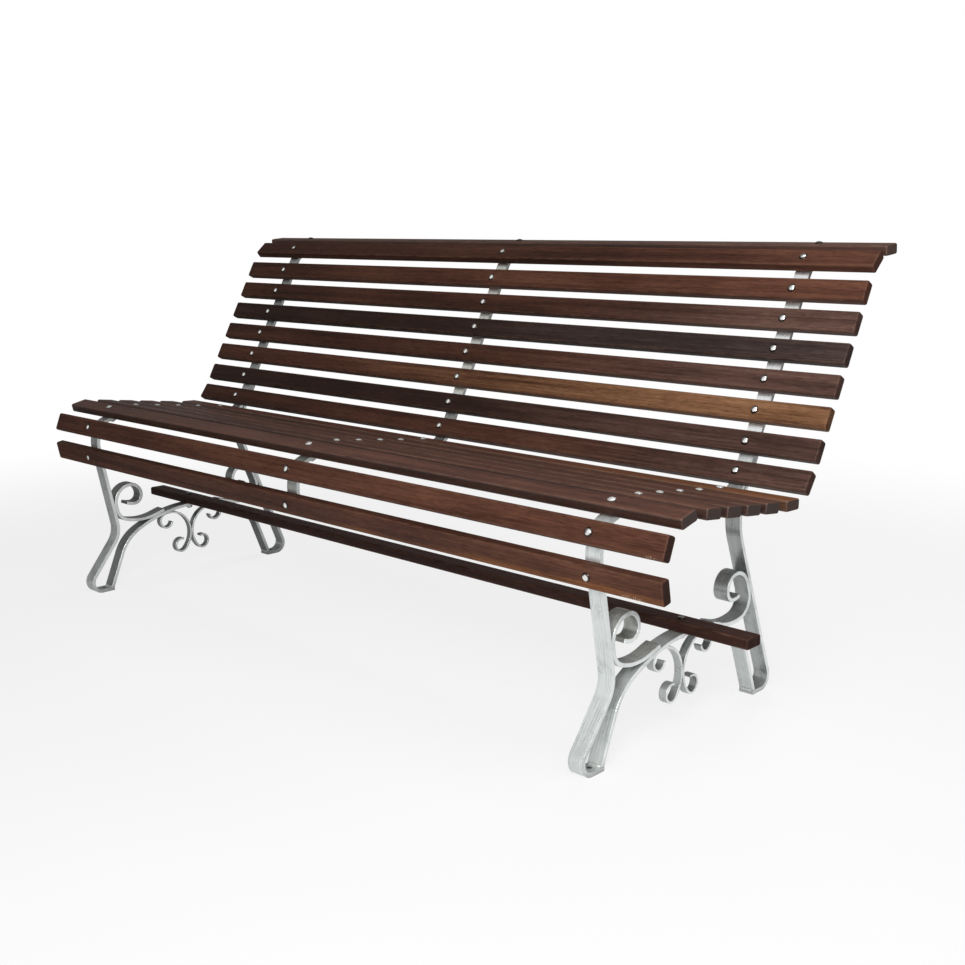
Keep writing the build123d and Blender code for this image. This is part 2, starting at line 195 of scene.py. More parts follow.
class ShaderGraph:
    """A material's node tree, built from expressions."""

    sky_samples: ClassVar[int] = 6

    def __init__(self, name: str) -> None:
        """Start an empty material.

        Args:
            name: Name of the material.
        """
        self.material = bpy.data.materials.new(name)
        self.material.use_nodes = True
        self.tree = self.material.node_tree
        self.tree.nodes.clear()

    @classmethod
    def of_tree(cls, tree: bpy.types.NodeTree) -> "ShaderGraph":
        """A graph on a node tree that belongs to no material, such as the world's."""
        graph = cls.__new__(cls)
        graph.tree = tree
        tree.nodes.clear()
        return graph

    def make(
        self,
        kind: str,
        settings: dict[str, object] | None = None,
        sockets: dict[str | int, Value] | None = None,
    ) -> bpy.types.Node:
        """Add one node.

        Args:
            kind: Blender's type of the node.
            settings: Properties that are set before the sockets; "stops" fills a colour ramp.
            sockets: Values or links of the input sockets, by name or number.

        Returns:
            The new node.
        """
        made = self.tree.nodes.new(kind)
        for name, value in (settings or {}).items():
            if name == "stops":
                self._fill_ramp(made.color_ramp, value)
            else:
                setattr(made, name, value)
        for name, value in (sockets or {}).items():
            target = made.inputs[name]
            if isinstance(value, Link):
                self.tree.links.new(value.socket, target)
            else:
                target.default_value = value
        return made

    def node(
        self,
        kind: str,
        settings: dict[str, object] | None = None,
        sockets: dict[str | int, Value] | None = None,
        output: str | int = 0,
    ) -> Link:
        """Add one node and take one of its outputs.

        Args:
            kind: Blender's type of the node.
            settings: Properties that are set before the sockets.
            sockets: Values or links of the input sockets.
            output: The output that the result stands for.

        Returns:
            The chosen output.
        """
        return Link(self, self.make(kind, settings, sockets).outputs[output])

    @staticmethod
    def _fill_ramp(ramp: bpy.types.ColorRamp, stops: Sequence[tuple[float, Colour]]) -> None:
        """Give a ramp its stops.

        Args:
            ramp: The colour ramp.
            stops: Place and colour of each stop.
        """
        while len(ramp.elements) < len(stops):
            ramp.elements.new(1.0)
        for element, (place, colour) in zip(ramp.elements, stops):
            element.position = place
            element.color = (*colour, 1.0)

    def coordinates(self) -> Link:
        """The surface point in the piece's own frame, in metres."""
        return self.node("ShaderNodeTexCoord", output="Object")

    def axes(self, vector: Link) -> tuple[Link, Link, Link]:
        """The three parts of a vector."""
        outputs = self.make("ShaderNodeSeparateXYZ", sockets={0: vector}).outputs
        return Link(self, outputs[0]), Link(self, outputs[1]), Link(self, outputs[2])

    def along(self, vector: Link, direction: Sequence[float]) -> Link:
        """How far a vector reaches in a direction."""
        settings = {"operation": "DOT_PRODUCT"}
        return self.node("ShaderNodeVectorMath", settings, {0: vector, 1: direction}, output="Value")

    def noise(self, place: Link, grain: Grain, shift: Sequence[float] | None = None) -> Link:
        """Smooth noise from 0 to 1.

        Args:
            place: The surface point.
            grain: The layer of noise.
            shift: Where the layer is looked up, if not at its own place.

        Returns:
            The noise value.
        """
        sockets = {0: place, 1: grain.scale, 2: grain.shift if shift is None else shift}
        vector = self.node("ShaderNodeVectorMath", {"operation": "MULTIPLY_ADD"}, sockets)
        return self.node(
            "ShaderNodeTexNoise",
            sockets={
                "Vector": vector,
                "Scale": 1.0,
                "Detail": grain.detail,
                "Roughness": grain.roughness,
                "Distortion": grain.warp,
            },
        )

    def ramp(self, value: Link, *stops: tuple[float, Colour]) -> Link:
        """Colour of a value between stops of place and colour."""
        return self.node("ShaderNodeValToRGB", {"stops": stops}, {0: value})

    def ease(self, value: Value, low: float, high: float) -> Link:
        """Smooth step from 0 at low to 1 at high."""
        settings = {"interpolation_type": "SMOOTHSTEP"}
        return self.node("ShaderNodeMapRange", settings, {"Value": value, "From Min": low, "From Max": high})

    def blend(self, first: Value, second: Value, share: Value, kind: str = "MIX") -> Link:
        """Mix two colours.

        Args:
            first: Colour at share 0.
            second: Colour at share 1.
            share: How much of the second one.
            kind: Way of mixing.

        Returns:
            The mixed colour.
        """
        first, second = (c if isinstance(c, Link) else (*c, 1.0) for c in (first, second))
        settings = {"data_type": "RGBA", "blend_type": kind, "clamp_result": True}
        sockets = {0: share, MIX_FIRST: first, MIX_SECOND: second}
        return self.node("ShaderNodeMix", settings, sockets, output=MIX_RESULT)

    def openness(self, reach: float, own_only: bool) -> Link:
        """How open a surface point lies, from 0 in a closed corner to 1.

        Args:
            reach: How far other surfaces are looked for.
            own_only: Whether only the same object counts.

        Returns:
            The share of open sky above the point.
        """
        settings = {"samples": self.sky_samples, "only_local": own_only}
        return self.node("ShaderNodeAmbientOcclusion", settings, {"Distance": reach}, output="AO")

    def bump(self, height: Link, depth: float, strength: float) -> Link:
        """Normal of a surface with fine relief of this depth in metres."""
        sockets = {"Height": height, "Distance": depth, "Strength": strength}
        return self.node("ShaderNodeBump", sockets=sockets)

    def surface(self, shader: Link) -> bpy.types.Material:
        """Finish the material with this shader."""
        self.finish("ShaderNodeOutputMaterial", shader)
        return self.material

    def finish(self, kind: str, shader: Link) -> None:
        """Join a shader to the tree's output node."""
        self.make(kind, sockets={"Surface": shader})


# Finishes


@dataclass(frozen=True)
class WoodTone:
    """Colours of one board of oiled hardwood."""

    dark: Colour
    middle: Colour
    light: Colour


UMBER = WoodTone(srgb(50, 31, 24), srgb(75, 47, 37), srgb(98, 65, 51))
CHESTNUT = WoodTone(srgb(62, 36, 27), srgb(90, 57, 45), srgb(116, 77, 60))
EBONY = WoodTone(srgb(40, 27, 22), srgb(54, 36, 30), srgb(76, 54, 46))
SLATE = WoodTone(srgb(45, 35, 32), srgb(60, 48, 45), srgb(82, 66, 61))
# Painted shade: a darker wood for the stretcher, which lies in the apron's shadow
PLUM_IN_SHADOW = WoodTone(srgb(43, 25, 20), srgb(60, 37, 31), srgb(84, 58, 50))
DUSK = WoodTone(srgb(60, 42, 36), srgb(90, 66, 58), srgb(116, 88, 78))
AMBER = WoodTone(srgb(76, 46, 30), srgb(116, 74, 48), srgb(142, 92, 58))
HONEY = WoodTone(srgb(90, 60, 40), srgb(136, 97, 69), srgb(164, 122, 90))


@dataclass(frozen=True)
class Scuff:
    """Scraped spot on a board's outer face, by its place along and across the board."""

    along: float
    across: float
    reach: float


def swing(layer: Link, weight: float) -> Link:
    """A layer of noise about 0 instead of one half, times a weight."""
    return (layer - 0.5) * weight


@dataclass(frozen=True)
class HardwoodFinish:
    """Oiled hardwood with grain along the board, worn lighter on its edges and dark on its ends.

    A board may turn to a second tone along its length, between far_from and far_to, and to a third one low down.
    The second tone is partly the board's own tone and partly painted light, lighter towards the +x end.
    Its side faces may take painted shade, which darkens the gaps between boards.
    """

    tone: WoodTone = UMBER
    # Second tone along the board: partly its own tone, partly painted light that is lighter towards +x
    far_tone_and_light: WoodTone | None = None
    far_from: float = 0.0
    far_to: float = 0.5
    low_tone: WoodTone | None = None
    scuffs: tuple[Scuff, ...] = ()
    polish: float = 0.1
    # Painted shade on the board's side faces
    side_painted_shade: float = 1.0
    end_grime: float = 0.4
    seed: int = 0

    # Layers of the grain, and how far apart two boards may lie in them
    bands: ClassVar[Grain] = Grain((1.3, 55, 55), 3, 0.55, 0.4)
    streaks: ClassVar[Grain] = Grain((5, 330, 330), 4, 0.6, 0.3)
    fibres: ClassVar[Grain] = Grain((22, 1500, 1500), 3, 0.6)
    pores: ClassVar[Grain] = Grain((42, 1100, 1100), 1, 0.4)
    patches: ClassVar[Grain] = Grain((3.5, 9, 9), 2, 0.5)
    flecks: ClassVar[Grain] = Grain((38, 210, 210), 3, 0.65, 0.6)
    rubs: ClassVar[Grain] = Grain((30, 160, 160), 3, 0.6)
    chips: ClassVar[Grain] = Grain((330, 460, 460), 2, 0.6)
    shift_reach: ClassVar[float] = 40

    # Weight of bands, streaks, patches and flecks in the figure, and where its three colours lie
    figure_weights: ClassVar[tuple[float, ...]] = (1.1, 1.0, 0.9, 0.8)
    figure_stops: ClassVar[tuple[float, ...]] = (0.12, 0.5, 0.92)

    # How unevenly the second tone sets in along the board, and the third one across it
    far_swing: ClassVar[tuple[float, float]] = (0.5, 0.25)
    low_swing: ClassVar[tuple[float, float]] = (0.04, 0.05)
    low_depth: ClassVar[tuple[float, float]] = (0.05, 0.95)
    low_reach: ClassVar[tuple[float, float]] = (-0.6, 0.5)

    # Dark fibres and open pores
    fibre_tint: ClassVar[Colour] = (0.35, 0.32, 0.30)
    fibre_from: ClassVar[float] = 0.45
    fibre_weight: ClassVar[float] = 0.65
    pore_tint: ClassVar[Colour] = (0.25, 0.2, 0.18)
    pore_span: ClassVar[tuple[float, float]] = (0.62, 0.74)
    pore_weight: ClassVar[float] = 0.75

    # Distances from a side, face or end, in roundings: edges, the ends' edges, and the flat beyond the rounding
    edge_span: ClassVar[tuple[float, float]] = (1.0, 0.25)
    end_edge_span: ClassVar[tuple[float, float]] = (1.0, 0.3)
    flat_span: ClassVar[tuple[float, float]] = (0.3, 0.1)

    # Worn edges, scraped spots and dirty ends
    worn_wood: ClassVar[Colour] = srgb(128, 96, 80)
    rub_span: ClassVar[tuple[float, float]] = (0.32, 0.68)
    edge_wear: ClassVar[float] = 0.45
    end_edge_wear: ClassVar[float] = 0.5
    scraped_wood: ClassVar[Colour] = srgb(196, 160, 134)
    scuff_length: ClassVar[float] = 0.3
    chip_lift: ClassVar[float] = 0.25
    chip_span: ClassVar[tuple[float, float]] = (0.68, 0.78)
    scuff_fade: ClassVar[tuple[float, float]] = (0.05, 0.4)
    scuff_face: ClassVar[tuple[float, float]] = (0.6, 0.9)
    scuff_weight: ClassVar[float] = 0.8
    dirty_end: ClassVar[Colour] = srgb(42, 31, 28)

    # Relief of fibres, streaks and pores, and roughness of plain wood with what streaks, pores and ends add
    relief_weights: ClassVar[tuple[float, float, float]] = (0.35, 0.35, 0.9)
    relief_depth: ClassVar[float] = 0.25 * MILLIMETRE
    relief_strength: ClassVar[float] = 0.55
    roughness: ClassVar[float] = 0.46
    roughness_weights: ClassVar[tuple[float, float, float]] = (0.22, 0.2, 0.4)

    def build(self, name: str, size: Vector, rounding: float) -> bpy.types.Material:
        """Make the material for a board of this size.

        Args:
            name: Name of the material.
            size: Length, width and thickness of the board.
            rounding: Radius of the board's long edges.

        Returns:
            The finished material.
        """
        graph = ShaderGraph(name)
        draw = random.Random(self.seed)
        shift = [draw.uniform(-self.shift_reach, self.shift_reach) for _ in range(3)]
        place = graph.coordinates()
        along, across, through = graph.axes(place)
        half = size / 2

        def layer(grain: Grain) -> Link:
            """One layer of this board's grain."""
            return graph.noise(place, grain, shift)

        def near(distance: Link, reach: float, span: tuple[float, float]) -> Link:
            """Mask that sets in near the board's surface on two opposite sides."""
            return graph.ease(abs(distance), reach - rounding * span[0], reach - rounding * span[1])

        bands, streaks, fibres, patches, flecks = (
            layer(grain) for grain in (self.bands, self.streaks, self.fibres, self.patches, self.flecks)
        )
        pores = graph.ease(layer(self.pores), *self.pore_span)
        band_part, streak_part, patch_part, fleck_part = (
            swing(part, weight) for part, weight in zip((bands, streaks, patches, flecks), self.figure_weights)
        )
        figure = band_part + streak_part + patch_part + fleck_part + 0.5
        colour = self._figured(graph, self.tone, figure)
        # Second tone towards +x: partly the board's own tone, partly painted light
        if self.far_tone_and_light is not None:
            reach = along + swing(bands, self.far_swing[0]) + swing(streaks, self.far_swing[1])
            share = graph.ease(reach, self.far_from, self.far_to)
            colour = graph.blend(colour, self._figured(graph, self.far_tone_and_light, figure), share)
        if self.low_tone is not None:
            depth = swing(bands, self.low_swing[0]) + swing(patches, self.low_swing[1]) - across
            lower = graph.ease(depth, *(half.y * part for part in self.low_depth))
            share = lower * graph.ease(along, *self.low_reach)
            colour = graph.blend(colour, self._figured(graph, self.low_tone, figure), share)
        fibre_share = (fibres - self.fibre_from) * self.fibre_weight
        colour = graph.blend(colour, self.fibre_tint, fibre_share, "MULTIPLY")
        colour = graph.blend(colour, self.pore_tint, pores * self.pore_weight, "MULTIPLY")

        near_side = near(across, half.y, self.edge_span)
        near_face = near(through, half.z, self.edge_span)
        near_end = near(along, half.x, self.end_edge_span)
        end_edge = near_end * near_side.at_least(near_face) * self.end_edge_wear
        wear = (near_side * near_face).at_least(end_edge) * graph.ease(layer(self.rubs), *self.rub_span)
        colour = graph.blend(colour, self.worn_wood, wear * self.edge_wear)
        # Painted shade on the side faces, which darkens the gaps between boards
        side = near(across, half.y, self.flat_span)
        colour = graph.blend(colour, (self.side_painted_shade,) * 3, side, "MULTIPLY")
        if self.scuffs:
            face = graph.ease(through, *(half.z * part for part in self.scuff_face))
            spots = self._scraped(graph, along, across, layer(self.chips))
            for spot in spots:
                colour = graph.blend(colour, self.scraped_wood, spot * face * self.scuff_weight)
        end = near(along, half.x, self.flat_span)
        colour = graph.blend(colour, self.dirty_end, end * self.end_grime)

        fibre_lift, streak_lift, pore_drop = self.relief_weights
        relief = fibres * fibre_lift + streaks * streak_lift - pores * pore_drop
        by_streak, by_pore, by_end = self.roughness_weights
        shader = graph.node(
            "ShaderNodeBsdfPrincipled",
            sockets={
                "Base Color": colour,
                "Roughness": self.roughness + swing(streaks, by_streak) + pores * by_pore + end * by_end,
                "Normal": graph.bump(relief, self.relief_depth, self.relief_strength),
                "Specular IOR Level": self.polish,
            },
        )
        return graph.surface(shader)

    def _figured(self, graph: ShaderGraph, tone: WoodTone, figure: Link) -> Link:
        """Colour of one tone's grain."""
        return graph.ramp(figure, *zip(self.figure_stops, (tone.dark, tone.middle, tone.light)))

    def _scraped(self, graph: ShaderGraph, along: Link, across: Link, chips: Link) -> list[Link]:
        """Masks of the scraped spots.

        Args:
            graph: The wood's graph.
            along: Place along the board.
            across: Place across the board.
            chips: Noise that breaks a spot up.

        Returns:
            One mask for each spot.
        """
        masks = []
        for scuff in self.scuffs:
            aside, above = along - scuff.along, across - scuff.across
            distance = aside * aside * self.scuff_length + above * above
            near = 1.0 - graph.ease(distance, 0.0, scuff.reach**2)
            scraped = graph.ease(chips + near * self.chip_lift, *self.chip_span)
            masks.append(scraped * graph.ease(near, *self.scuff_fade))
        return masks


@dataclass(frozen=True)
class GalvanisedFinish:
    """Hot-dip zinc on steel bar: soft mottles, streaks along the bar and bright runs.

    A bar's broad faces take one painted shade below the seat and another one above it, where a painted
    highlight may brighten them too. Its narrow edges stay bright below the seat and take painted shade above it.
    Curls and corners near other parts take painted shade as well.
    """

    pale: Colour = srgb(238, 241, 240)
    middle: Colour = srgb(221, 225, 224)
    dull: Colour = srgb(168, 171, 168)
    # Colour of the painted highlight above the seat
    bright: Colour = srgb(248, 249, 248)
    # Grey of the painted shade in curls, corners and sheltered edges, and how far curls and corners look
    painted_shade_grey: Colour = srgb(104, 104, 100)
    recess_reach: float = 0.06
    shelter_reach: float = 0.05
    metallic: tuple[float, float] = (0.5, 0.9)
    # Painted shade of the broad faces below and above the seat, and the painted highlight above it
    broad_painted_shade: float = 1.0
    upper_painted_shade: float = 1.0
    upper_span: tuple[float, float] = (0.46, 0.52)
    sheltered_span: tuple[float, float] = (0.4, 0.44)
    painted_gleam: float = 0.8
    patina: Colour = (1.0, 1.0, 0.95)

    # Layers of the zinc, and how much mottles and streaks count in its three colours
    mottles: ClassVar[Grain] = Grain((24, 24, 24), 3, 0.55, 0.4, (3, 7, 1))
    streaks: ClassVar[Grain] = Grain((430, 7, 7), 5, 0.65, 0.1, (1, 4, 9))
    grain: ClassVar[Grain] = Grain((900, 700, 700), 3, 0.6)
    runs: ClassVar[Grain] = Grain((160, 26, 26), 2, 0.5, 0.5, (5, 2, 8))
    run_span: ClassVar[tuple[float, float]] = (0.6, 0.7)
    run_weight: ClassVar[float] = 0.4
    shade_weights: ClassVar[tuple[float, float]] = (0.35, 0.65)
    shade_stops: ClassVar[tuple[float, float, float]] = (0.32, 0.5, 0.66)

    # How squarely an edge faces sideways, how open curls and corners lie for their painted shade,
    # and how much painted shade an edge above the seat takes
    edge_span: ClassVar[tuple[float, float]] = (0.3, 0.75)
    curl_span: ClassVar[tuple[float, float]] = (0.15, 0.85)
    corner_span: ClassVar[tuple[float, float]] = (0.3, 0.8)
    edge_painted_shade: ClassVar[float] = 0.7

    # Roughness with what mottles and grain add, and relief of streaks, runs and grain
    roughness: ClassVar[float] = 0.3
    roughness_weights: ClassVar[tuple[float, float]] = (0.3, 0.12)
    relief_weights: ClassVar[tuple[float, float, float]] = (0.5, 0.5, 0.2)
    relief_depth: ClassVar[float] = 0.5 * MILLIMETRE
    relief_strength: ClassVar[float] = 0.5

    def build(self, name: str) -> bpy.types.Material:
        """Make the material.

        Args:
            name: Name of the material.

        Returns:
            The finished material.
        """
        graph = ShaderGraph(name)
        place = graph.coordinates()
        height = graph.axes(place)[2]
        mottles, streaks, grain = (
            graph.noise(place, layer) for layer in (self.mottles, self.streaks, self.grain)
        )
        runs = graph.ease(graph.noise(place, self.runs), *self.run_span)
        shade = mottles * self.shade_weights[0] + streaks * self.shade_weights[1]
        colour = graph.ramp(shade, *zip(self.shade_stops, (self.dull, self.middle, self.pale)))
        colour = graph.blend(colour, self.pale, runs * self.run_weight)

        facing = graph.axes(graph.node("ShaderNodeNewGeometry", output="Normal"))[0]
        edge = graph.ease(abs(facing), *self.edge_span)
        # Painted shade in curls and in corners near other parts, leaving the edges out
        curl = graph.ease(graph.openness(self.recess_reach, own_only=True), *self.curl_span)
        corner = graph.ease(graph.openness(self.shelter_reach, own_only=False), *self.corner_span)
        colour = graph.blend(self.painted_shade_grey, colour, curl.at_most(corner + 1.0 - edge))
        # Painted shade of the broad faces, one below the seat and another above it
        above = graph.ease(height, *self.upper_span)
        painted_shade_tint = graph.blend(self._patina_in_painted_shade(self.broad_painted_shade), self._patina_in_painted_shade(self.upper_painted_shade), above)
        # Painted highlight on the bars above the seat
        colour = graph.blend(colour, self.bright, above * self.painted_gleam)
        # Painted shade on the edges above the seat, between the slats
        sheltered = graph.ease(height, *self.sheltered_span)
        colour = graph.blend(colour, self.painted_shade_grey, sheltered * edge * self.edge_painted_shade)
        # Painted shade multiplied into the broad faces
        colour = graph.blend(colour, painted_shade_tint, 1.0 - edge, "MULTIPLY")

        least, most = self.metallic
        streak_lift, run_lift, grain_lift = self.relief_weights
        relief = streaks * streak_lift + runs * run_lift + grain * grain_lift
        by_mottle, by_grain = self.roughness_weights
        shader = graph.node(
            "ShaderNodeBsdfPrincipled",
            sockets={
                "Base Color": colour,
                "Metallic": least + above.at_least(edge) * (most - least),
                "Roughness": self.roughness + swing(mottles, by_mottle) + swing(grain, by_grain),
                "Normal": graph.bump(relief, self.relief_depth, self.relief_strength),
            },
        )
        return graph.surface(shader)

    def _patina_in_painted_shade(self, shade: float) -> Colour:
        """The patina at one painted shade."""
        red, green, blue = self.patina
        return red * shade, green * shade, blue * shade


@dataclass(frozen=True)
class PlatedFinish:
    """Plated fastener with faint handling marks, and a painted dark reflection round the rim of a bolt's head.
    """

    colour: Colour
    worn: Colour
    roughness: float
    # Painted dark reflection of the surrounding wood round the rim of a bolt's head
    painted_rim_reflection: Colour = srgb(52, 46, 42)
    rim_reflection_span: tuple[float, float] = (0.56, 0.8)
    metallic: float = 1.0

    marks: ClassVar[Grain] = Grain((700, 700, 700), 3, 0.6, 1.0, (2, 5, 3))
    haze: ClassVar[Grain] = Grain((160, 160, 160), 2, 0.5, 0.0, (6, 1, 4))
    haze_span: ClassVar[tuple[float, float]] = (0.4, 0.7)
    mark_roughness: ClassVar[float] = 0.16
    mark_depth: ClassVar[float] = 0.1 * MILLIMETRE
    mark_strength: ClassVar[float] = 0.3

    def build(self, name: str) -> bpy.types.Material:
        """Make the material.

        Args:
            name: Name of the material.

        Returns:
            The finished material.
        """
        graph = ShaderGraph(name)
        place = graph.coordinates()
        marks = graph.noise(place, self.marks)
        haze = graph.ease(graph.noise(place, self.haze), *self.haze_span)
        rim = graph.node("ShaderNodeAttribute", {"attribute_name": RIM_LAYER}, output="Fac")
        colour = graph.blend(self.colour, self.worn, haze)
        # Painted dark reflection round the rim
        colour = graph.blend(colour, self.painted_rim_reflection, graph.ease(rim, *self.rim_reflection_span))
        shader = graph.node(
            "ShaderNodeBsdfPrincipled",
            sockets={
                "Base Color": colour,
                "Metallic": self.metallic,
                "Roughness": self.roughness + swing(marks, self.mark_roughness),
                "Normal": graph.bump(marks, self.mark_depth, self.mark_strength),
            },
        )
        return graph.surface(shader)


POLISHED_STEEL = PlatedFinish(srgb(232, 230, 227), srgb(214, 212, 209), 0.07)
# Paler, half-metallic copy of the bolt steel for the seat bolts: a painted reflection of bright sky
PAINTED_SKY_STEEL = PlatedFinish(
    srgb(240, 239, 236), srgb(222, 221, 218), 0.24, rim_reflection_span=(0.8, 1.0), metallic=0.4
)
ZINC_PLATE = PlatedFinish(srgb(186, 190, 194), srgb(150, 154, 156), 0.36)


# Mesh helpers


def mesh_points(node: bpy.types.Object) -> np.ndarray:
    """Vertices of a CAD node in the row frame, one row each."""
    return np.array([vertex.co[:] for vertex in node.data.vertices], float)


def new_object(name: str, mesh: bmesh.types.BMesh) -> bpy.types.Object:
    """Turn a finished bmesh into a smooth-shaded object of the scene.

    Args:
        name: Name of the piece.
        mesh: The mesh, which is used up.

    Returns:
        The new object.
    """
    bmesh.ops.recalc_face_normals(mesh, faces=mesh.faces)
    data = bpy.data.meshes.new(name)
    mesh.to_mesh(data)
    mesh.free()
    data.shade_smooth()
    made = bpy.data.objects.new(name, data)
    bpy.context.scene.collection.objects.link(made)
    return made


def weigh_normals(piece: bpy.types.Object) -> None:
    """Keep broad faces flat in a smooth-shaded piece."""
    modifier = piece.modifiers.new("flat_faces", "WEIGHTED_NORMAL")
    modifier.keep_sharp = True


def dress(piece: bpy.types.Object, material: bpy.types.Material) -> None:
    """Give every face of a piece one material."""
    piece.data.materials.clear()
    piece.data.materials.append(material)


def outline_points(node: bpy.types.Object, spacing: float = 1.0 * MILLIMETRE) -> np.ndarray:
    """Points along the outline of a bar's side face.

    Args:
        node: The CAD node of a bar that lies across x.
        spacing: Distance between neighbouring points.

    Returns:
        The points' y and z, one row each.
    """
    mesh = bmesh.new()
    mesh.from_mesh(node.data)
    bmesh.ops.remove_doubles(mesh, verts=mesh.verts, dist=SAME_POINT)
    points = []
    for edge in mesh.edges:
        sides = [face for face in edge.link_faces if face.normal.x > SIDEWAYS]
        if len(sides) == 1:
            start, end = (vertex.co for vertex in edge.verts)
            count = max(1, math.ceil((end - start).length / spacing))
            points += [start.lerp(end, step / count)[1:] for step in range(count)]
    mesh.free()
    return np.array(points, float)


def islands(node: bpy.types.Object) -> list[np.ndarray]:
    """Points of each separate solid in a CAD node.

    Args:
        node: A node that holds several solids.

    Returns:
        One array of points for each solid, in a fixed order.
    """
    mesh = bmesh.new()
    mesh.from_mesh(node.data)
    bmesh.ops.remove_doubles(mesh, verts=mesh.verts, dist=SAME_POINT)
    left = set(mesh.verts)
    found = []
    for first in list(mesh.verts):
        if first not in left:
            continue
        left.discard(first)
        group = [first]
        for vertex in group:
            for edge in vertex.link_edges:
                other = edge.other_vert(vertex)
                if other in left:
                    left.discard(other)
                    group.append(other)
        found.append(np.array([vertex.co[:] for vertex in group], float))
    mesh.free()
    return sorted(found, key=lambda points: tuple(np.round(points.mean(0), 4)))


def add_rings(mesh: bmesh.types.BMesh, frame: Matrix, rings: Iterable[Ring]) -> list[list[bmesh.types.BMVert]]:
    """Add the points of a turned form.

    Args:
        mesh: Where the points go.
        frame: Frame whose z is the axis.
        rings: For each ring, the radius and height at every side.

    Returns:
        The points, one row for each ring.
    """
    rows = []
    for ring in rings:
        row = []
        for side, (radius, height) in enumerate(ring):
            angle = 2 * math.pi * side / len(ring)
            point = Vector((radius * math.cos(angle), radius * math.sin(angle), height))
            row.append(mesh.verts.new(frame @ point))
        rows.append(row)
    return rows


def stitch(mesh: bmesh.types.BMesh, rows: Sequence[Sequence[bmesh.types.BMVert]]) -> None:
    """Add the faces between each closed row of points and the next."""
    for row, following in zip(rows, rows[1:]):
        for side in range(len(row)):
            ahead = (side + 1) % len(row)
            mesh.faces.new((row[side], row[ahead], following[ahead], following[side]))


# Slats


